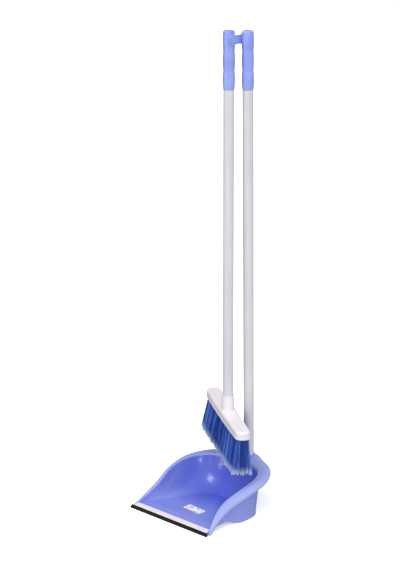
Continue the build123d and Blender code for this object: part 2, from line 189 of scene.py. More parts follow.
class ShaderGroups:
    """Builds each shared shader group once and hands it out by name."""

    def __init__(self) -> None:
        """Starts with no groups built."""
        self._built: dict[Effect, bpy.types.NodeTree] = {}

    def get(self, effect: Effect) -> bpy.types.NodeTree:
        """Returns a shared group, building it on first use.

        Args:
            effect: Which group.

        Returns:
            The node tree of the group.
        """
        if effect not in self._built:
            builder = {Effect.MOULDED: self._moulded_skin, Effect.WEAR: self._handling_wear}[effect]
            self._built[effect] = builder()
        return self._built[effect]

    @staticmethod
    def _tree(name: str, inputs: dict[str, object], outputs: dict[str, str]) -> bpy.types.NodeTree:
        """An empty shader group with typed sockets.

        Args:
            name: The group's name.
            inputs: Input names and their default values; a tuple of four makes a colour.
            outputs: Output names and their socket types.

        Returns:
            The new node tree with its input and output nodes.
        """
        tree = bpy.data.node_groups.new(name, "ShaderNodeTree")
        for label, value in inputs.items():
            kind = "NodeSocketColor" if isinstance(value, tuple) else "NodeSocketFloat"
            socket = tree.interface.new_socket(label, in_out="INPUT", socket_type=kind)
            socket.default_value = value
        for label, kind in outputs.items():
            tree.interface.new_socket(label, in_out="OUTPUT", socket_type=kind)
        tree.nodes.new("NodeGroupInput").name = "in"
        tree.nodes.new("NodeGroupOutput").name = "out"
        return tree

    def _moulded_skin(self) -> bpy.types.NodeTree:
        """Moulded plastic: cloudy colour, fine grain and a height for the bump."""
        tree = self._tree(
            Effect.MOULDED.value,
            {
                "Colour": (0.5, 0.5, 0.5, 1.0),
                "Shade": (0.4, 0.4, 0.4, 1.0),
                "Cloud Scale": 18.0,
                "Grain Scale": 900.0,
                "Roughness": 0.3,
                "Roughness Spread": 0.1,
            },
            {"Colour": "NodeSocketColor", "Roughness": "NodeSocketFloat", "Height": "NodeSocketFloat"},
        )
        net, source = Net(tree), tree.nodes["in"]
        place = net.place()
        cloud = net.noise(place, (source, "Cloud Scale"), 3.0, Roughness=0.55)
        grain = net.noise(place, (source, "Grain Scale"), 2.0)
        spread = net.share_of(cloud, 0.3, 0.7)
        rough = net.maths("MULTIPLY_ADD", cloud, (source, "Roughness Spread"), (source, "Roughness"))
        net.fill(
            tree.nodes["out"],
            {
                "Colour": net.mix_colour((source, "Shade"), (source, "Colour"), spread),
                "Roughness": rough,
                "Height": net.maths("ADD", cloud, net.maths("MULTIPLY", grain, 0.35)),
            },
        )
        return tree

    def _handling_wear(self) -> bpy.types.NodeTree:
        """Fine scratches and dulled patches, as a mask and a colour."""
        tree = self._tree(
            Effect.WEAR.value,
            {"Colour": (0.5, 0.5, 0.5, 1.0), "Worn": (0.7, 0.7, 0.7, 1.0), "Scale": 40.0, "Amount": 0.2},
            {"Colour": "NodeSocketColor", "Mask": "NodeSocketFloat"},
        )
        net, source = Net(tree), tree.nodes["in"]
        drawn = net.mapped(net.place(), Scale=(1.0, 1.0, 0.25))
        patch = net.noise(drawn, (source, "Scale"), 6.0, Roughness=0.7, Distortion=0.6)
        mask = net.maths("MULTIPLY", net.share_of(patch, 0.56, 0.72), (source, "Amount"))
        mix = net.mix_colour((source, "Colour"), (source, "Worn"), mask)
        net.fill(tree.nodes["out"], {"Colour": mix, "Mask": mask})
        return tree


GROUPS = ShaderGroups()


# ------------------------------------------------------------------ finishes
class Finish:
    """A material with one Principled shader, made once by its subclass."""

    name: str

    def begin(self) -> tuple[bpy.types.Material, Net, bpy.types.Node]:
        """A new material, its net and its Principled shader."""
        material = bpy.data.materials.new(self.name)
        material.use_nodes = True
        return material, Net(material.node_tree), material.node_tree.nodes["Principled BSDF"]

    @staticmethod
    def group(net: Net, effect: Effect, values: Inputs) -> bpy.types.Node:
        """Places a shared group in a material with its own values."""
        return net.add("ShaderNodeGroup", values, node_tree=GROUPS.get(effect))

    @staticmethod
    def bump(net: Net, shader: bpy.types.Node, height: Feed, strength: float, depth: float) -> None:
        """Feeds the shader's normal from a height."""
        node = net.add("ShaderNodeBump", {"Height": height, "Strength": strength, "Distance": depth})
        net.fill(shader, {"Normal": (node, "Normal")})


@dataclass(frozen=True)
class MouldedFinish(Finish):
    """Injection-moulded plastic: cloudy colour, faint grain, light scuffs, and a clear gloss, lifted towards
    a pale colour where the mesh says so, as painted light and thin plastic.
    """

    name: str
    colour: Colour
    shade: Colour
    worn: Colour
    # The pale colour mixed in by a mesh attribute: painted light and painted reflection, with some
    # translucency of thin plastic.
    thin_and_lit: Colour | None = None
    roughness: float = 0.3
    spread: float = 0.1
    coat: float = 0.2
    coat_roughness: float = 0.12
    cloud_scale: float = 18.0
    grain_depth: float = 0.00012
    wear: float = 0.12
    worn_roughness: float = 0.3
    glow: float = 0.0
    glow_radius: Point3 = (0.35, 0.4, 1.0)
    glow_depth: float = 0.004

    def build(self) -> bpy.types.Material:
        """Returns the finished material."""
        material, net, shader = self.begin()
        skin = self.group(
            net,
            Effect.MOULDED,
            {
                "Colour": self.colour,
                "Shade": self.shade,
                "Cloud Scale": self.cloud_scale,
                "Roughness": self.roughness,
                "Roughness Spread": self.spread,
            },
        )
        colour: Feed = (skin, "Colour")
        # Painted light: the colour is lifted towards the pale one by the mesh's stored share, standing in for
        # light and reflection as well as thin plastic.
        if self.thin_and_lit is not None:
            colour = net.mix_colour(colour, self.thin_and_lit, net.attribute("thin_and_lit"))
        wear = self.group(net, Effect.WEAR, {"Colour": colour, "Worn": self.worn, "Amount": self.wear})
        rough = net.maths("MULTIPLY_ADD", (wear, "Mask"), self.worn_roughness, (skin, "Roughness"))
        net.fill(shader, {"Base Color": (wear, "Colour"), "Roughness": rough})
        net.fill(shader, {"Coat Weight": self.coat, "Coat Roughness": self.coat_roughness})
        self.bump(net, shader, (skin, "Height"), 0.25, self.grain_depth)
        if self.glow:
            net.fill(shader, {"Subsurface Weight": self.glow, "Subsurface Radius": self.glow_radius})
            net.fill(shader, {"Subsurface Scale": self.glow_depth})
        return material


@dataclass(frozen=True)
class CoatedTubeFinish(Finish):
    """Plastic film shrunk on steel tube: fine lengthways lines and faint bands."""

    name: str
    colour: Colour
    line: Colour
    worn: Colour = linear(190, 190, 196)
    roughness: float = 0.22

    def build(self) -> bpy.types.Material:
        """Returns the finished material."""
        material, net, shader = self.begin()
        lines = net.noise(net.mapped(net.place(), Scale=(1.0, 1.0, 0.012)), 420.0, 4.0, Roughness=0.6)
        bands = net.noise(net.place(), 9.0, 3.0)
        share = net.share_of(net.maths("MULTIPLY", lines, bands), 0.16, 0.36)
        mix = net.mix_colour(self.line, self.colour, share)
        wear = self.group(net, Effect.WEAR, {"Colour": mix, "Worn": self.worn, "Scale": 26.0, "Amount": 0.18})
        rough = net.maths("MULTIPLY_ADD", lines, 0.16, self.roughness)
        net.fill(shader, {"Base Color": (wear, "Colour"), "Roughness": rough})
        net.fill(shader, {"Coat Weight": 0.3, "Coat Roughness": 0.18})
        self.bump(net, shader, lines, 0.2, 0.00008)
        return material


@dataclass(frozen=True)
class RubberFinish(Finish):
    """Soft black blade: matt, with fine lengthways ribs and dust in them."""

    name: str
    colour: Colour
    dust: Colour

    def build(self) -> bpy.types.Material:
        """Returns the finished material."""
        material, net, shader = self.begin()
        place = net.place()
        wave = {"Vector": place, "Scale": 210.0, "Distortion": 0.6, "Detail": 2.0}
        ribs = net.add("ShaderNodeTexWave", wave, bands_direction="Z")
        specks = net.noise(place, 260.0, 5.0, Roughness=0.75)
        mix = net.mix_colour(self.colour, self.dust, net.share_of(specks, 0.55, 0.8, 0.5))
        rough = net.maths("MULTIPLY_ADD", specks, 0.25, 0.42)
        net.fill(shader, {"Base Color": mix, "Roughness": rough, "Specular IOR Level": 0.25})
        self.bump(net, shader, net.maths("ADD", (ribs, "Fac"), specks), 0.4, 0.0002)
        return material


@dataclass(frozen=True)
class FilamentFinish(Finish):
    """Extruded bristle filament: each a little different, and paler where its tip is split."""

    name: str
    deep: Colour
    bright: Colour
    tip: Colour
    tip_start: float = 0.8
    tip_share: float = 0.85

    def build(self) -> bpy.types.Material:
        """Returns the finished material."""
        material, net, shader = self.begin()
        shade = net.attribute("shade")
        mix = net.mix_colour(self.deep, self.bright, net.share_of(shade, 0.15, 0.95))
        frayed = net.share_of(net.attribute("along"), self.tip_start, 1.0, self.tip_share)
        rough = net.maths("MULTIPLY_ADD", shade, 0.2, 0.3)
        net.fill(shader, {"Base Color": net.mix_colour(mix, self.tip, frayed), "Roughness": rough})
        net.fill(shader, {"Specular IOR Level": 0.2})
        return material


@dataclass(frozen=True)
class SteelFinish(Finish):
    """Bare rolled steel: brushed lines and a faint dull film."""

    name: str
    colour: Colour
    film: Colour

    def build(self) -> bpy.types.Material:
        """Returns the finished material."""
        material, net, shader = self.begin()
        lines = net.noise(net.mapped(net.place(), Scale=(1.0, 1.0, 0.02)), 900.0, 3.0)
        mix = net.mix_colour(self.colour, self.film, lines)
        rough = net.maths("MULTIPLY_ADD", lines, 0.25, 0.2)
        net.fill(shader, {"Base Color": mix, "Roughness": rough, "Metallic": 1.0})
        self.bump(net, shader, lines, 0.2, 0.00005)
        return material


@dataclass(frozen=True)
class LabelFinish(Finish):
    """Plain printed film: a pale ground with a few soft blots of colour and no lettering."""

    name: str
    centre: Point3
    ground: Colour = linear(244, 245, 250)
    blots: tuple[tuple[Colour, float, float], ...] = (
        (linear(222, 96, 132), 90.0, 0.31),
        (linear(70, 104, 190), 110.0, 0.74),
        (linear(110, 196, 214), 70.0, 0.52),
    )

    def build(self) -> bpy.types.Material:
        """Returns the finished material."""
        material, net, shader = self.begin()
        place = net.place()
        middle = net.mapped(place, Location=tuple(-c for c in self.centre))
        mix: Feed | Colour = self.ground
        for paint, scale, shift in self.blots:
            moved = net.mapped(middle, Location=(shift, 0.0, 0.0), Scale=(1.0, 1.9, 1.0))
            blot = net.noise(moved, scale, 1.0)
            mix = net.mix_colour(mix, paint, net.share_of(blot, 0.58, 0.64, 0.75))
        grain = net.noise(place, 700.0, 2.0)
        net.fill(shader, {"Base Color": mix, "Roughness": net.maths("MULTIPLY_ADD", grain, 0.2, 0.25)})
        self.bump(net, shader, grain, 0.2, 0.00004)
        return material


@dataclass(frozen=True)
class FloorFinish(Finish):
    """Plain pale studio floor."""

    name: str = "studio_floor"
    light: float = 0.4

    def build(self) -> bpy.types.Material:
        """Returns the finished material."""
        material, net, shader = self.begin()
        cloud = net.noise(net.place(), 3.0, 2.0)
        tones = net.add("ShaderNodeMapRange", {"Value": cloud, "To Min": 0.93, "To Max": 0.95})
        net.fill(shader, {"Base Color": (tones, "Result"), "Roughness": 0.9, "Specular IOR Level": 0.1})
        net.fill(shader, {"Emission Color": (1.0, 1.0, 1.0, 1.0), "Emission Strength": self.light})
        return material


PAN_PLASTIC = MouldedFinish(
    "pan_plastic",
    colour=linear(66, 85, 208),
    shade=linear(58, 76, 200),
    worn=linear(150, 162, 236),
    # The pale colour for painted light, painted reflection and thin plastic on the pan.
    thin_and_lit=linear(164, 176, 236),
    roughness=0.26,
    coat=0.35,
    wear=0.06,
    glow=0.12,
)
GRIP_PLASTIC = MouldedFinish(
    "grip_plastic",
    colour=linear(150, 168, 240),
    shade=linear(128, 147, 235),
    worn=linear(186, 198, 241),
    roughness=0.2,
    coat=1.0,
    coat_roughness=0.03,
    glow=0.15,
)
HEAD_PLASTIC = MouldedFinish(
    "head_plastic",
    colour=linear(241, 234, 241),
    shade=linear(233, 226, 234),
    worn=linear(214, 208, 214),
    roughness=0.28,
    coat=0.3,
    glow=0.1,
)
LIP_WHITE = MouldedFinish(
    "lip_white",
    colour=linear(236, 228, 236),
    shade=linear(224, 216, 228),
    worn=linear(196, 190, 200),
    roughness=0.25,
    coat=0.4,
    cloud_scale=40.0,
    wear=0.2,
)
TUBE_COAT = CoatedTubeFinish("tube_coat", colour=linear(217, 216, 221), line=linear(207, 206, 212))
LIP_RUBBER = RubberFinish("lip_rubber", colour=linear(9, 9, 10), dust=linear(58, 58, 56))
FILAMENT = FilamentFinish(
    "bristle_fibre", deep=linear(10, 52, 168), bright=linear(112, 162, 250), tip=linear(226, 236, 255)
)
STEEL = SteelFinish("tube_steel", colour=linear(190, 192, 196), film=linear(150, 152, 156))


class FinishShelf:
    """Keeps one built material for each finish."""

    def __init__(self) -> None:
        """Starts empty."""
        self._made: dict[str, bpy.types.Material] = {}

    def get(self, finish: Finish) -> bpy.types.Material:
        """Returns the finish's material, building it on first use."""
        if finish.name not in self._made:
            self._made[finish.name] = finish.build()
        return self._made[finish.name]

    def dress(self, piece: bpy.types.Object, finish: Finish) -> None:
        """Gives a CAD node or a piece this finish in all its material slots."""
        material = self.get(finish)
        if not piece.material_slots:
            piece.data.materials.append(material)
        for place in piece.material_slots:
            place.material = material


SHELF = FinishShelf()


# ------------------------------------------------------------------ shape helpers
def smooth_line(points: Sequence[Sequence[float]], count: int, mirror_end: bool) -> list[Vector]:
    """Points along a smooth line through the given ones, evenly spaced between each pair.

    Args:
        points: The points to pass through, each a pair or a triple.
        count: How many points to return.
        mirror_end: Whether the line goes on past its end as its own mirror image in x.

    Returns:
        The points of the line.
    """
    run = [Vector(p) for p in points]
    before = run[0] * 2 - run[1]
    after = run[-2].copy()
    after.x = -after.x
    run = [before, *run, after if mirror_end else run[-1] * 2 - run[-2]]
    spans = len(points) - 1
    line = []
    for number in range(count):
        place = number / (count - 1) * spans
        start = min(int(place), spans - 1)
        t = place - start
        a, b, c, d = run[start : start + 4]
        bend, twist = 2 * a - 5 * b + 4 * c - d, 3 * b - a - 3 * c + d
        line.append(0.5 * (2 * b + t * (c - a) + t * t * bend + t**3 * twist))
    return line


def height_on(line: Sequence[Point2], y: float) -> float:
    """The height of a profile of (y, z) points at y, smooth between them and level beyond them."""
    if y <= line[0][0]:
        return line[0][1]
    if y >= line[-1][0]:
        return line[-1][1]
    number = max(i for i in range(len(line) - 1) if line[i][0] <= y)
    (y0, z0), (y1, z1) = line[number], line[number + 1]

    def slope(i: int) -> float:
        """The profile's slope at one of its points."""
        low, high = max(i - 1, 0), min(i + 1, len(line) - 1)
        return (line[high][1] - line[low][1]) / (line[high][0] - line[low][0])

    t, span = (y - y0) / (y1 - y0), y1 - y0
    m0, m1 = slope(number) * span, (0.0 if number + 2 == len(line) else slope(number + 1)) * span
    return (
        (2 * t**3 - 3 * t**2 + 1) * z0
        + (t**3 - 2 * t**2 + t) * m0
        + (-2 * t**3 + 3 * t**2) * z1
        + (t**3 - t**2) * m1
    )


def new_object(name: str, mesh: bpy.types.Mesh) -> bpy.types.Object:
    """An object for a mesh, linked to the scene."""
    made = bpy.data.objects.new(name, mesh)
    bpy.context.scene.collection.objects.link(made)
    return made


def mesh_of(name: str, build: Callable[[bmesh.types.BMesh], None]) -> bpy.types.Mesh:
    """A smooth-shaded mesh filled by a function and scaled from millimetres to metres."""
    work = bmesh.new()
    build(work)
    bmesh.ops.transform(work, matrix=Matrix.Scale(MM, 4), verts=work.verts)
    for face in work.faces:
        face.smooth = True
    mesh = bpy.data.meshes.new(name)
    work.to_mesh(mesh)
    work.free()
    return mesh


def add_grid(work: bmesh.types.BMesh, rows: Sequence[Sequence[Vector]]) -> None:
    """Adds rows of points as a sheet of quads."""
    verts = [[work.verts.new(p) for p in row] for row in rows]
    for low, high in zip(verts, verts[1:]):
        for a, b, c, d in zip(low, low[1:], high[1:], high):
            work.faces.new((a, b, c, d))


def apply_modifiers(piece: bpy.types.Object) -> bpy.types.Object:
    """Turns a piece's modifiers into plain mesh and removes them."""
    bpy.context.view_layer.update()
    graph = bpy.context.evaluated_depsgraph_get()
    mesh = bpy.data.meshes.new_from_object(piece.evaluated_get(graph), depsgraph=graph)
    old = piece.data
    piece.modifiers.clear()
    piece.data = mesh
    bpy.data.meshes.remove(old)
    return piece


def joined(name: str, parts: Sequence[bpy.types.Object]) -> bpy.types.Object:
    """Joins finished objects' meshes into one object and removes them."""
    work = bmesh.new()
    for part in parts:
        work.from_mesh(part.data)
    mesh = bpy.data.meshes.new(name)
    work.to_mesh(mesh)
    work.free()
    for part in parts:
        old = part.data
        bpy.data.objects.remove(part)
        bpy.data.meshes.remove(old)
    return new_object(name, mesh)


# ------------------------------------------------------------------ the pan
@dataclass
class PanBody:
    """The moulded pan: bowl, rolled flange, skirt, web and handle column, in millimetres."""

    wall: float = 2.3
    stations: int = 84
    floor_top: float = 9.0
    bowl_top: float = 94.0
    crease: float = 0.21
    column_radius: float = 14.5
    web: float = 3.0
    web_end: float = -13.0
    web_front: tuple[Point2, ...] = ((-63.0, 3), (-52.0, 26), (-40.5, 50), (-30.0, 73.5))
    skirt_reach: float = 3.6
    # Painted light: floor and bowl are painted paler from here towards the mouth, where the front light
    # falls, and stay darker towards the back as painted shade.
    front_light_from: float = -95.0
    front_light_fade: float = 80.0
    front_light_share: float = 0.44
    edge_full_at: float = 8.0
    flange_curve: float = 2.1
    flange_crown: float = 1.1
    # Fixed shares of the pale colour for the skirt and the column: painted light on their outer faces.
    skirt_thin_and_lit: float = 0.54
    column_thin_and_lit: float = 0.8
    column_top: float = 74.4
    floor_shares: tuple[float, ...] = (0, 0.17, 0.34, 0.5, 0.66, 0.82, 0.93)
    wall_shares: tuple[float, ...] = (0, 0.04, 0.1, 0.18, 0.28, 0.38, 0.5, 0.62, 0.74, 0.86, 0.95)
    bead: tuple[Point2, ...] = ((0.0, 0.9), (0.2, 0.1), (0.7, -0.6), (1.6, -0.8), (2.6, -0.3), (3.4, 0.0))
    flange_shares: tuple[float, ...] = (0.38, 0.45, 0.52, 0.6, 0.68, 0.76, 0.83, 0.9, 0.96, 1.0)
    turned_edge: tuple[Point2, ...] = ((0.6, 0.4), (1.1, 1.4), (1.3, 4.0), (1.1, 7.6))
    skirt_shares: tuple[float, ...] = (0, 0.012, 0.04, 0.12, 0.25, 0.4, 0.55, 0.7, 0.85, 1.0)
    skirt_flare: float = 0.9
    flare_below: float = 0.05
    socket_radius: float = 10.2
    rim_line: tuple[Point2, ...] = (
        (-241, 4), (-225, 15.5), (-197, 35), (-154, 57), (-113, 68), (-60, 74.5), (-18, 76),
    )
    ramp: tuple[Point2, ...] = (
        (-262, 1.8), (-244.6, 3.8), (-233, 5.8), (-231.5, 6.1), (-229.5, 7.3), (-221, 7.7), (-219, 8.7),
        (-212, 9.0),
    )
    rim_plan: tuple[Point2, ...] = (
        (110.1, -241), (101.7, -217), (95.8, -180), (102.1, -135), (98.8, -89), (78, -53), (44, -37.5),
        (0, -32.4),
    )
    floor_plan: tuple[Point2, ...] = (
        (108, -241), (96, -218), (79, -190), (63, -160), (48, -130), (33, -108), (16, -96), (0, -93),
    )
    flange_plan: tuple[Point2, ...] = (
        (112.6, -241), (107, -217), (105.5, -178), (114.2, -127), (112, -73), (87, -28), (44, -2),
        (0, 16.5),
    )
    flange_drop: tuple[float, ...] = (0.6, 3.0, 6.5, 7.5, 4.5, 2.0, 0.6, 0.0)
    foot_plan: tuple[Point2, ...] = (
        (112, -241), (106.5, -217), (106, -180), (114.5, -143), (110, -103), (87, -79), (42, -67),
        (0, -64),
    )
    arch: tuple[Point2, ...] = (
        (-236, 0.0), (-224, 10.4), (-200, 11.4), (-178, 10.4), (-162, 3.6), (-150, 0.0),
    )

    def floor_height(self, y: float) -> float:
        """The floor's height at y: the ramp behind the lip, then level."""
        return min(height_on(self.ramp, y), self.floor_top)

    def bowl_point(self, floor: Vector, rim: Vector, angle: float) -> Vector:
        """A point of the bowl's wall.

        Args:
            floor: The wall's foot, in plan.
            rim: Where the wall would end at full height, in plan.
            angle: How far up the wall, from 0 to a quarter turn.

        Returns:
            The point, with its height.
        """
        base = self.floor_height(floor.y)
        rise = (1 - self.crease) * (1 - math.cos(angle)) + self.crease * math.sin(angle)
        plan = floor.lerp(rim, math.sin(angle))
        return Vector((plan.x, plan.y, base + rise * (self.bowl_top - base)))

    def rim_angle(self, floor: Vector, rim: Vector) -> float:
        """The angle at which the bowl's wall meets the rim's line."""
        low, high = 0.0, math.pi / 2
        for _ in range(24):
            middle = (low + high) / 2
            point = self.bowl_point(floor, rim, middle)
            if point.z < height_on(self.rim_line, point.y):
                low = middle
            else:
                high = middle
        return low

    def half_section(self, number: int, plans: dict[str, list[Vector]]) -> tuple[list[Vector], list[float]]:
        """One station's section, from the middle of the floor out over the flange.

        Args:
            number: The station, from the mouth to the middle of the back.
            plans: The plan outlines, a point for each station.

        Returns:
            The section's points, and how far each is painted pale: painted light and painted reflection, with
            translucency of thin plastic at the flange.
        """
        floor, rim, edge = (plans[key][number] for key in ("floor", "rim", "flange"))
        foot = self.bowl_point(floor, rim, 0.0)
        section = [Vector((foot.x * share, foot.y, foot.z)) for share in self.floor_shares]
        steep = self.rim_angle(floor, rim)
        section += [self.bowl_point(floor, rim, steep * share) for share in self.wall_shares]
        # Painted light: paler towards the mouth, darker towards the back as painted shade.
        bright = min(max((self.front_light_from - foot.y) / self.front_light_fade, 0.0), 1.0)
        thin_and_lit = [self.front_light_share * bright] * len(section)
        top = self.bowl_point(floor, rim, steep)
        reach = Vector((edge.x - top.x, edge.y - top.y, 0.0))
        out = reach.normalized()
        tight = min(1.0, reach.length / self.edge_full_at)
        drop = plans["drop"][number].x
        # The rolled bead is painted pale: a painted highlight along the rim, partly translucency.
        for step, lower in self.bead:
            section.append(top + out * step * tight - Vector((0, 0, lower * tight)))
            thin_and_lit.append(0.8)
        outer = height_on(self.rim_line, edge.y) - drop
        for share in self.flange_shares:
            point = top + reach * share
            start = max(top.z, min(height_on(self.rim_line, point.y), self.bowl_top))
            crown = self.flange_crown * tight * math.sin(math.pi * share)
            point.z = start + (outer - start) * share**self.flange_curve + crown
            section.append(point)
            # Painted reflection with translucency: the flange grows paler towards its outer edge.
            thin_and_lit.append(0.62 + 0.3 * share)
        last = section[-1].copy()
        # The turned-down edge is painted fully pale: painted reflection with translucency.
        for step, lower in self.turned_edge:
            section.append(last + out * step * tight - Vector((0, 0, lower * max(tight, 0.35))))
            thin_and_lit.append(1.0)
        return section, thin_and_lit

    def outlines(self) -> dict[str, list[Vector]]:
        """Every plan outline with one point for each station."""
        drops = [(drop, 0.0) for drop in self.flange_drop]
        return {
            "rim": smooth_line(self.rim_plan, self.stations, True),
            "floor": smooth_line(self.floor_plan, self.stations, True),
            "flange": smooth_line(self.flange_plan, self.stations, True),
            "foot": smooth_line(self.foot_plan, self.stations, True),
            "drop": smooth_line(drops, self.stations, False),
        }

    def upper_sheet(self, plans: dict[str, list[Vector]]) -> bpy.types.Object:
        """Floor, bowl and flange as one walled sheet."""
        rows, shades = [], []
        for number in range(self.stations):
            section, thin_and_lit = self.half_section(number, plans)
            left = [Vector((-p.x, p.y, p.z)) for p in reversed(section[1:])]
            rows.append([*left, *section])
            shades.append([*reversed(thin_and_lit[1:]), *thin_and_lit])

        def fill(work: bmesh.types.BMesh) -> None:
            """Fills the sheet and stores how pale each point is painted: painted light and painted
            reflection, with thin plastic at the flange.
            """
            add_grid(work, rows)
            layer = work.verts.layers.float.new("thin_and_lit")
            for vert, shade in zip(work.verts, (value for row in shades for value in row)):
                vert[layer] = shade
            bmesh.ops.remove_doubles(work, verts=work.verts, dist=0.02)
            bmesh.ops.recalc_face_normals(work, faces=work.faces)
            work.faces.ensure_lookup_table()
            inside = Vector((0, -180, self.floor_top))
            middle = min(work.faces, key=lambda f: (f.calc_center_median() - inside).length)
            if middle.normal.z < 0:
                bmesh.ops.reverse_faces(work, faces=work.faces)

        sheet = new_object("pan_upper", mesh_of("pan_upper", fill))
        solid = sheet.modifiers.new("wall", "SOLIDIFY")
        solid.thickness, solid.offset, solid.use_even_offset = self.wall * MM, -1.0, False
        return apply_modifiers(sheet)

    def skirt(self, plans: dict[str, list[Vector]]) -> bpy.types.Object:
        """The outer wall under the flange, with an arch at each side."""
        rows = []
        first = len(self.floor_shares) + len(self.wall_shares) + len(self.bead)
        arch_back = self.arch[-1][0]
        for number in range(self.stations):
            rim, edge, foot = (plans[key][number] for key in ("rim", "flange", "foot"))
            section, _ = self.half_section(number, plans)
            flange = section[first : first + len(self.flange_shares)]
            head = rim.lerp(edge, min(0.3, self.skirt_reach / (edge - rim).length))
            near = min(flange, key=lambda p: (p.xy - head).length)
            top = Vector((head.x, head.y, near.z - self.wall * 0.6))
            low = height_on(self.arch, foot.y) if foot.y < arch_back else 0.0
            low = min(low, max(top.z - 3.0, 0.0))
            share_low = low / self.bowl_top
            base = Vector((*foot.lerp(head, share_low), low))
            row = []
            for share in self.skirt_shares:
                point = base.lerp(top, share)
                flare = self.skirt_flare * max(0.0, 1 - share / self.flare_below)
                point.x += flare * (1 if foot.x > 1 else 0)
                row.append(point)
            rows.append(row)
        whole = [*rows, *([Vector((-p.x, p.y, p.z)) for p in row] for row in reversed(rows[:-1]))]

        def fill(work: bmesh.types.BMesh) -> None:
            """Fills the skirt, faces outwards."""
            add_grid(work, whole)
            bmesh.ops.recalc_face_normals(work, faces=work.faces)
            work.faces.ensure_lookup_table()
            side = max(work.faces, key=lambda f: f.calc_center_median().x)
            if side.normal.x < 0:
                bmesh.ops.reverse_faces(work, faces=work.faces)
            # Painted light: the whole skirt gets a fixed share of the pale colour, as its lit outer wall.
            layer = work.verts.layers.float.new("thin_and_lit")
            for vert in work.verts:
                vert[layer] = self.skirt_thin_and_lit

        wall = new_object("pan_skirt", mesh_of("pan_skirt", fill))
        solid = wall.modifiers.new("wall", "SOLIDIFY")
        solid.thickness, solid.offset = self.wall * MM, -1.0
        return apply_modifiers(wall)

    def column(self) -> bpy.types.Object:
        """The closed tube that the handle's ferrule screws into, and the web to the heel."""
        radius, bore, top = self.column_radius, self.socket_radius, self.column_top
        profile = [(0, 0), (radius - 1.6, 0), (radius - 0.5, 0.5), (radius, 1.6), (radius, top)]
        profile += [(bore, top), (bore, 4.6), (bore - 0.8, 4.0), (0, 4.0)]

        def fill(work: bmesh.types.BMesh) -> None:
            """Turns the column's section and adds the web."""
            rings = 48
            rows = []
            for number in range(rings + 1):
                turn = 2 * math.pi * number / rings
                rows.append([Vector((r * math.cos(turn), r * math.sin(turn), z)) for r, z in profile])
            add_grid(work, rows)
            half, shares = self.web / 2, (0.0, 0.3, 0.6, 1.0)
            fronts = self.web_front
            lines = [[(front + (self.web_end - front) * share, z) for share in shares] for front, z in fronts]
            for x in (-half, half):
                add_grid(work, [[Vector((x, y, z)) for y, z in line] for line in lines])
            for line in (lines[0], lines[-1], [line[0] for line in lines], [line[-1] for line in lines]):
                add_grid(work, [[Vector((x, y, z)) for x in (-half, half)] for y, z in line])
            bmesh.ops.remove_doubles(work, verts=work.verts, dist=0.01)
            bmesh.ops.recalc_face_normals(work, faces=work.faces)
            # Painted light: the column is painted paler by a fixed share as well.
            layer = work.verts.layers.float.new("thin_and_lit")
            for vert in work.verts:
                vert[layer] = self.column_thin_and_lit

        return new_object("pan_column", mesh_of("pan_column", fill))

    def build(self) -> None:
        """Builds, joins and dresses the pan, with nothing of it below the floor."""
        plans = self.outlines()
        pan = joined("pan_moulding", [self.upper_sheet(plans), self.skirt(plans), self.column()])
        for vert in pan.data.vertices:
            vert.co.z = max(vert.co.z, 0.0)
        SHELF.dress(pan, PAN_PLASTIC)
        pan.data.set_sharp_from_angle(angle=math.radians(38))
        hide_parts("pan_body")
        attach(pan, Body.PAN.value)
        LOG.info("pan_moulding: %d faces", len(pan.data.polygons))


# ------------------------------------------------------------------ the bristles
class GeometryNet(Net):
    """Adds and links nodes in one geometry node tree with named inputs."""

    def __init__(self, name: str, inputs: dict[str, tuple[str, object]]) -> None:
        """Makes the tree.

        Args:
            name: The tree's name.
            inputs: Input names, each with its socket type and default value.
        """
        tree = bpy.data.node_groups.new(name, "GeometryNodeTree")
        super().__init__(tree)
        tree.interface.new_socket("Geometry", in_out="INPUT", socket_type="NodeSocketGeometry")
        for label, (kind, value) in inputs.items():
            socket = tree.interface.new_socket(label, in_out="INPUT", socket_type=kind)
            if value is not None:
                socket.default_value = value
        tree.interface.new_socket("Geometry", in_out="OUTPUT", socket_type="NodeSocketGeometry")
        self.source = tree.nodes.new("NodeGroupInput")
        self.result = tree.nodes.new("NodeGroupOutput")

    def scaled(self, vector: Feed, share: Feed) -> Feed:
        """A vector times a number."""
        return (self.add("ShaderNodeVectorMath", {0: vector, "Scale": share}, operation="SCALE"), "Vector")

    def summed(self, first: Feed, second: Feed) -> Feed:
        """The sum of two vectors."""
        return (self.add("ShaderNodeVectorMath", {0: first, 1: second}, operation="ADD"), "Vector")

    def chance(self, low: float, high: float, seed: int) -> Feed:
        """A random number for each element, offset from the tree's own seed."""
        own = self.maths("ADD", (self.source, "Seed"), seed)
        return (self.add("FunctionNodeRandomValue", {2: low, 3: high, "Seed": own}, data_type="FLOAT"), 1)

    def store(self, geometry: Feed, name: str, value: Feed, domain: str = "POINT") -> Feed:
        """Geometry with a number stored on it by name."""
        values = {"Geometry": geometry, "Name": name, "Value": value}
        node = self.add("GeometryNodeStoreNamedAttribute", values, data_type="FLOAT", domain=domain)
        return (node, "Geometry")

    def named(self, name: str, kind: str = "FLOAT") -> Feed:
        """An attribute stored by name."""
        return (self.add("GeometryNodeInputNamedAttribute", {"Name": name}, data_type=kind), "Attribute")

    def use(self, piece: bpy.types.Object, values: dict[str, object]) -> None:
        """Puts the tree on a piece as a modifier, with these inputs."""
        modifier = piece.modifiers.new(self.tree.name, "NODES")
        modifier.node_group = self.tree
        sockets = {s.name: s.identifier for s in self.tree.interface.items_tree if s.in_out == "INPUT"}
        for label, value in values.items():
            modifier[sockets[label]] = value


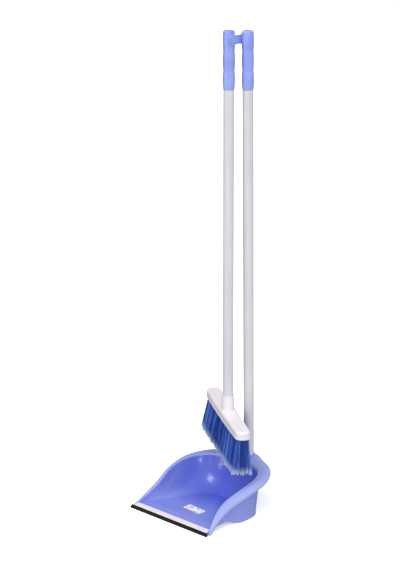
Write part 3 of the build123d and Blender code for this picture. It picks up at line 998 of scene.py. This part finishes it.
def one_filament(net: GeometryNet) -> Feed:
    """A straight filament of unit height that stores how far along it each point is."""
    line = net.add("GeometryNodeCurvePrimitiveLine", {"End": (0.0, 0.0, 1.0)})
    knots = net.add("GeometryNodeResampleCurve", {"Curve": (line, "Curve"), "Count": 6})
    share = net.add("GeometryNodeSplineParameter")
    kept = net.store((knots, "Curve"), "along", (share, "Factor"))
    sides = {"Resolution": 3, "Radius": (net.source, "Filament Radius")}
    ring = net.add("GeometryNodeCurvePrimitiveCircle", sides)
    values = {"Curve": kept, "Profile Curve": (ring, "Curve"), "Fill Caps": True}
    return (net.add("GeometryNodeCurveToMesh", values), "Mesh")


def bristle_tree() -> GeometryNet:
    """A tree that grows a bundle of leaning, wandering filaments from every point."""
    net = GeometryNet(
        "bristle_tufts",
        {
            "Filaments": ("NodeSocketInt", 32),
            "Tuft Radius": ("NodeSocketFloat", 0.0017),
            "Length": ("NodeSocketFloat", 0.079),
            "Filament Radius": ("NodeSocketFloat", 0.0004),
            "Flare": ("NodeSocketFloat", 0.022),
            "Stray": ("NodeSocketFloat", 0.022),
            "Wild": ("NodeSocketFloat", 0.3),
            "Wander": ("NodeSocketFloat", 0.007),
            "Seed": ("NodeSocketInt", 1),
            "Material": ("NodeSocketMaterial", None),
        },
    )
    source, wild_above, tuft_length, tuft_share, own_share = net.source, 0.992, 0.045, 0.58, 0.42
    hair = one_filament(net)

    points = net.add("GeometryNodeMeshToPoints", {"Mesh": (source, "Geometry")})
    toned = net.store((points, "Points"), "tuft_tone", net.chance(0.0, 1.0, 10))
    copies = {"Geometry": toned, "Amount": (source, "Filaments")}
    many = net.add("GeometryNodeDuplicateElements", copies, domain="POINT")
    turn, reach = net.chance(0.0, 2 * math.pi, 11), net.chance(0.0, 1.0, 12)
    flat = net.add("ShaderNodeCombineXYZ", {"X": net.maths("COSINE", turn), "Y": net.maths("SINE", turn)})
    disc = net.scaled((flat, "Vector"), net.maths("SQRT", reach))
    offset = net.scaled(disc, (source, "Tuft Radius"))
    moved = net.add("GeometryNodeSetPosition", {"Geometry": (many, "Geometry"), "Offset": offset})

    limits = {0: (-1.0, -1.0, 0.0), 1: (1.0, 1.0, 0.0)}
    loose = net.add("FunctionNodeRandomValue", limits, data_type="FLOAT_VECTOR")
    rare = net.maths("GREATER_THAN", net.chance(0.0, 1.0, 15), wild_above)
    spread = net.maths("MULTIPLY_ADD", rare, (source, "Wild"), (source, "Stray"))
    both = net.summed(net.scaled(disc, (source, "Flare")), net.scaled((loose, "Value"), spread))
    heading = net.summed(net.named("lean", "FLOAT_VECTOR"), both)
    facing = net.add("FunctionNodeAlignRotationToVector", {"Vector": heading}, axis="Z")
    tuft_tone = net.named("tuft_tone")
    length = net.maths("MULTIPLY_ADD", tuft_tone, tuft_length, net.chance(0.92, 0.985, 13))
    tall = net.maths("MULTIPLY", length, (source, "Length"))
    size = net.add("ShaderNodeCombineXYZ", {"X": 1.0, "Y": 1.0, "Z": tall})
    planted = net.add(
        "GeometryNodeInstanceOnPoints",
        {
            "Points": (moved, "Geometry"),
            "Instance": hair,
            "Rotation": (facing, "Rotation"),
            "Scale": (size, "Vector"),
        },
    )
    own = net.maths("MULTIPLY", net.chance(0.0, 1.0, 14), own_share)
    mixed = net.maths("MULTIPLY_ADD", tuft_tone, tuft_share, own)
    tone = net.store((planted, "Instances"), "shade", mixed, "INSTANCE")
    real = net.add("GeometryNodeRealizeInstances", {"Geometry": tone})

    place = net.add("GeometryNodeInputPosition")
    phase = net.maths("MULTIPLY", net.named("shade"), 40.0)
    swirl = {"Vector": (place, "Position"), "W": phase, "Scale": 26.0, "Detail": 1.0}
    drift = net.add("ShaderNodeTexNoise", swirl, noise_dimensions="4D")
    centring = {0: (drift, "Color"), 1: (0.5, 0.5, 0.5)}
    centred = net.add("ShaderNodeVectorMath", centring, operation="SUBTRACT")
    bend = net.maths("POWER", net.named("along"), 1.6)
    shift = net.scaled((centred, "Vector"), net.maths("MULTIPLY", bend, (source, "Wander")))
    bent = net.add("GeometryNodeSetPosition", {"Geometry": (real, "Geometry"), "Offset": shift})
    coats = {"Geometry": (bent, "Geometry"), "Material": (source, "Material")}
    painted = net.add("GeometryNodeSetMaterial", coats)
    net.fill(net.result, {"Geometry": (painted, "Geometry")})
    return net


@dataclass
class BristleRows:
    """Five rows of tufts under the brush head, leaning outwards towards its ends."""

    rows: int = 5
    pitch: float = 12.0
    row_gap: float = 5.5
    head_length: float = 296.0
    head_half: float = 18.0
    free_length: float = 79.0
    along_spread: float = 1.09
    across_spread: float = 1.7
    tuft_set: float = 5.0
    pegs: Point3 = (-21.2, -33.4, 982.0)
    base: float = -810.0
    turn: float = -33.3
    filaments: int = 32
    end_gap: float = 7.0
    end_round: float = 20.0
    root_depth: float = 0.6
    handle_lean: Point2 = (9.2, 760.0)
    first_seed: int = 20

    def frame(self) -> Matrix:
        """The head's own frame: its origin at the pegs, x along the head, z up the handle."""
        lean = math.atan2(*self.handle_lean)
        up = Vector((0, math.sin(lean), math.cos(lean)))
        side = Vector((1, 0, 0))
        side.rotate(Matrix.Rotation(math.radians(self.turn), 3, up))
        across = up.cross(side)
        turned = Matrix((side, across, up)).transposed().to_4x4()
        return Matrix.Translation(self.pegs) @ turned

    def places(self, number: int) -> list[Point2]:
        """Where the tufts of one row stand on the head."""
        across = (number - (self.rows - 1) / 2) * self.row_gap
        reach = self.head_length / 2 - self.end_gap - self.end_round * (across / self.head_half) ** 2
        count = int(2 * reach / self.pitch) + (1 if number % 2 == 0 else 0)
        first = -(count - 1) * self.pitch / 2
        return [(first + k * self.pitch, across) for k in range(count)]

    def build(self) -> None:
        """Builds and dresses every row."""
        frame = self.frame()
        tree = bristle_tree()
        for number in range(self.rows):
            roots, leans = [], []
            for x, y in self.places(number):
                root = frame @ Vector((x, y, self.base + self.root_depth))
                side = y * self.across_spread - self.tuft_set
                tip = frame @ Vector((x * self.along_spread, side, self.base - self.free_length))
                roots.append(root * MM)
                leans.append((tip - root).normalized())
            name = f"bristle_tufts_{number + 1}"
            mesh = bpy.data.meshes.new(name)
            mesh.from_pydata(roots, [], [])
            layer = mesh.attributes.new("lean", "FLOAT_VECTOR", "POINT")
            layer.data.foreach_set("vector", [value for lean in leans for value in lean])
            piece = new_object(name, mesh)
            seed = self.first_seed + number
            tree.use(piece, {"Filaments": self.filaments, "Seed": seed, "Material": SHELF.get(FILAMENT)})
            apply_modifiers(piece)
            for polygon in piece.data.polygons:
                polygon.use_smooth = True
            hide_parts(f"bristle_row_{number + 1}")
            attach(piece, Body.BRUSH.value)
            LOG.info("%s: %d tufts, %d faces", name, len(roots), len(piece.data.polygons))


# ------------------------------------------------------------------ CAD nodes that keep their shape
@dataclass
class CarriedNodes:
    """Gives every CAD node that stays its finish."""

    nodes: dict[str, bpy.types.Object]

    def finishes(self) -> dict[str, Finish]:
        """Each kept node's finish."""
        low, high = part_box("floor_label")
        centre = tuple((a + b) / 2 for a, b in zip(low, high))
        return {
            "lip_strip": LIP_WHITE,
            "lip_rubber": LIP_RUBBER,
            "floor_label": LabelFinish("label", centre),
            "pan_ferrule": GRIP_PLASTIC,
            "pan_tube": STEEL,
            "pan_tube_coat": TUBE_COAT,
            "pan_grip": GRIP_PLASTIC,
            "grip_link": GRIP_PLASTIC,
            "link_pin": GRIP_PLASTIC,
            "brush_grip": GRIP_PLASTIC,
            "brush_tube": STEEL,
            "brush_tube_coat": TUBE_COAT,
            "brush_ferrule": HEAD_PLASTIC,
            "head_cover": HEAD_PLASTIC,
            "bristle_base": HEAD_PLASTIC,
            "tuft_anchors": STEEL,
        }

    def dress(self) -> None:
        """Assigns the finishes."""
        for name, finish in self.finishes().items():
            SHELF.dress(self.nodes[name], finish)
            LOG.info("%s: %s", name, finish.name)


# ------------------------------------------------------------------ the studio
@dataclass
class Studio:
    """Pale floor, soft lights and the camera, in metres."""

    camera_place: Point3 = (2.431, -2.641, 1.525)
    azimuth: float = 44.0
    pitch: float = 16.5
    roll: float = -0.52
    frame_height: float = 570.0
    focal: float = 1772.0
    shift_x: float = -0.0136
    bright_side: Point3 = (0.66, -0.3, 0.69)
    dim: float = 0.14
    bright: float = 1.12
    floor_half: float = 40.0
    far_clip: float = 200.0

    def floor(self) -> None:
        """A large plain floor."""

        def fill(work: bmesh.types.BMesh) -> None:
            """One wide face, drawn in millimetres."""
            size = self.floor_half / MM
            corners = ((-size, -size), (size, -size), (size, size), (-size, size))
            work.faces.new([work.verts.new((x, y, 0.0)) for x, y in corners])

        plane = new_object("studio_floor", mesh_of("studio_floor", fill))
        SHELF.dress(plane, FloorFinish())
        plane.visible_glossy = plane.visible_diffuse = False

    def light(self, name: str, place: Point3, aim: Point3, size: Point2, watts: float) -> None:
        """One soft box, turned to its aim."""
        lamp = bpy.data.lights.new(name, "AREA")
        lamp.shape, lamp.size, lamp.size_y, lamp.energy = "RECTANGLE", size[0], size[1], watts
        made = bpy.data.objects.new(name, lamp)
        made.location = place
        heading = Vector(aim) - Vector(place)
        made.rotation_euler = heading.to_track_quat("-Z", "Y").to_euler()
        bpy.context.scene.collection.objects.link(made)

    def lights(self) -> None:
        """The key, front, strip and top soft boxes, and a pale world brighter on one side."""
        middle = (0.0, -0.1, 0.45)
        self.light("key_box", (2.8, -1.4, 1.7), middle, (0.3, 0.3), 9.0)
        self.light("front_box", (0.9, -3.3, 1.9), middle, (0.25, 0.4), 3.5)
        self.light("strip_box", (-0.6, -2.2, 0.8), (0.0, -0.05, 0.8), (0.06, 1.5), 6.0)
        self.light("top_box", (-0.2, -1.2, 3.0), (0.0, -0.15, 0.0), (0.8, 0.8), 20.0)
        world = bpy.data.worlds.new("studio_world")
        world.use_nodes = True
        sky = world.node_tree.nodes["Background"]
        sky.inputs["Color"].default_value = (1.0, 1.0, 1.0, 1.0)
        net = Net(world.node_tree)
        heading = (net.add("ShaderNodeTexCoord"), "Generated")
        facing = net.add("ShaderNodeVectorMath", {0: heading, 1: self.bright_side}, operation="DOT_PRODUCT")
        span = {"From Min": -0.9, "From Max": 0.9, "To Min": self.dim, "To Max": self.bright}
        strength = net.add("ShaderNodeMapRange", {"Value": (facing, "Value"), **span})
        net.fill(sky, {"Strength": (strength, "Result")})
        bpy.context.scene.world = world
        bpy.context.scene.view_settings.view_transform = "Standard"

    def camera(self) -> None:
        """The camera, from its place, bearing and tilt."""
        lens = bpy.data.cameras.new("studio_camera")
        lens.sensor_fit = "VERTICAL"
        lens.angle = 2 * math.atan(self.frame_height / 2 / self.focal)
        lens.shift_x = self.shift_x
        lens.clip_end = self.far_clip
        made = bpy.data.objects.new("studio_camera", lens)
        turned = (
            Matrix.Rotation(math.radians(self.azimuth), 4, "Z")
            @ Matrix.Rotation(math.radians(90 - self.pitch), 4, "X")
            @ Matrix.Rotation(math.radians(self.roll), 4, "Z")
        )
        made.matrix_world = Matrix.Translation(self.camera_place) @ turned
        bpy.context.scene.collection.objects.link(made)
        bpy.context.scene.camera = made

    def build(self) -> None:
        """Sets up everything around the object."""
        self.floor()
        self.lights()
        self.camera()


def main() -> None:
    """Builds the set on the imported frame."""
    logging.basicConfig(level=logging.INFO, format="%(name)s %(message)s")
    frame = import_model()
    Studio().build()
    CarriedNodes(frame["nodes"]).dress()
    PanBody().build()
    BristleRows().build()


if __name__ == "__main__":
    main()
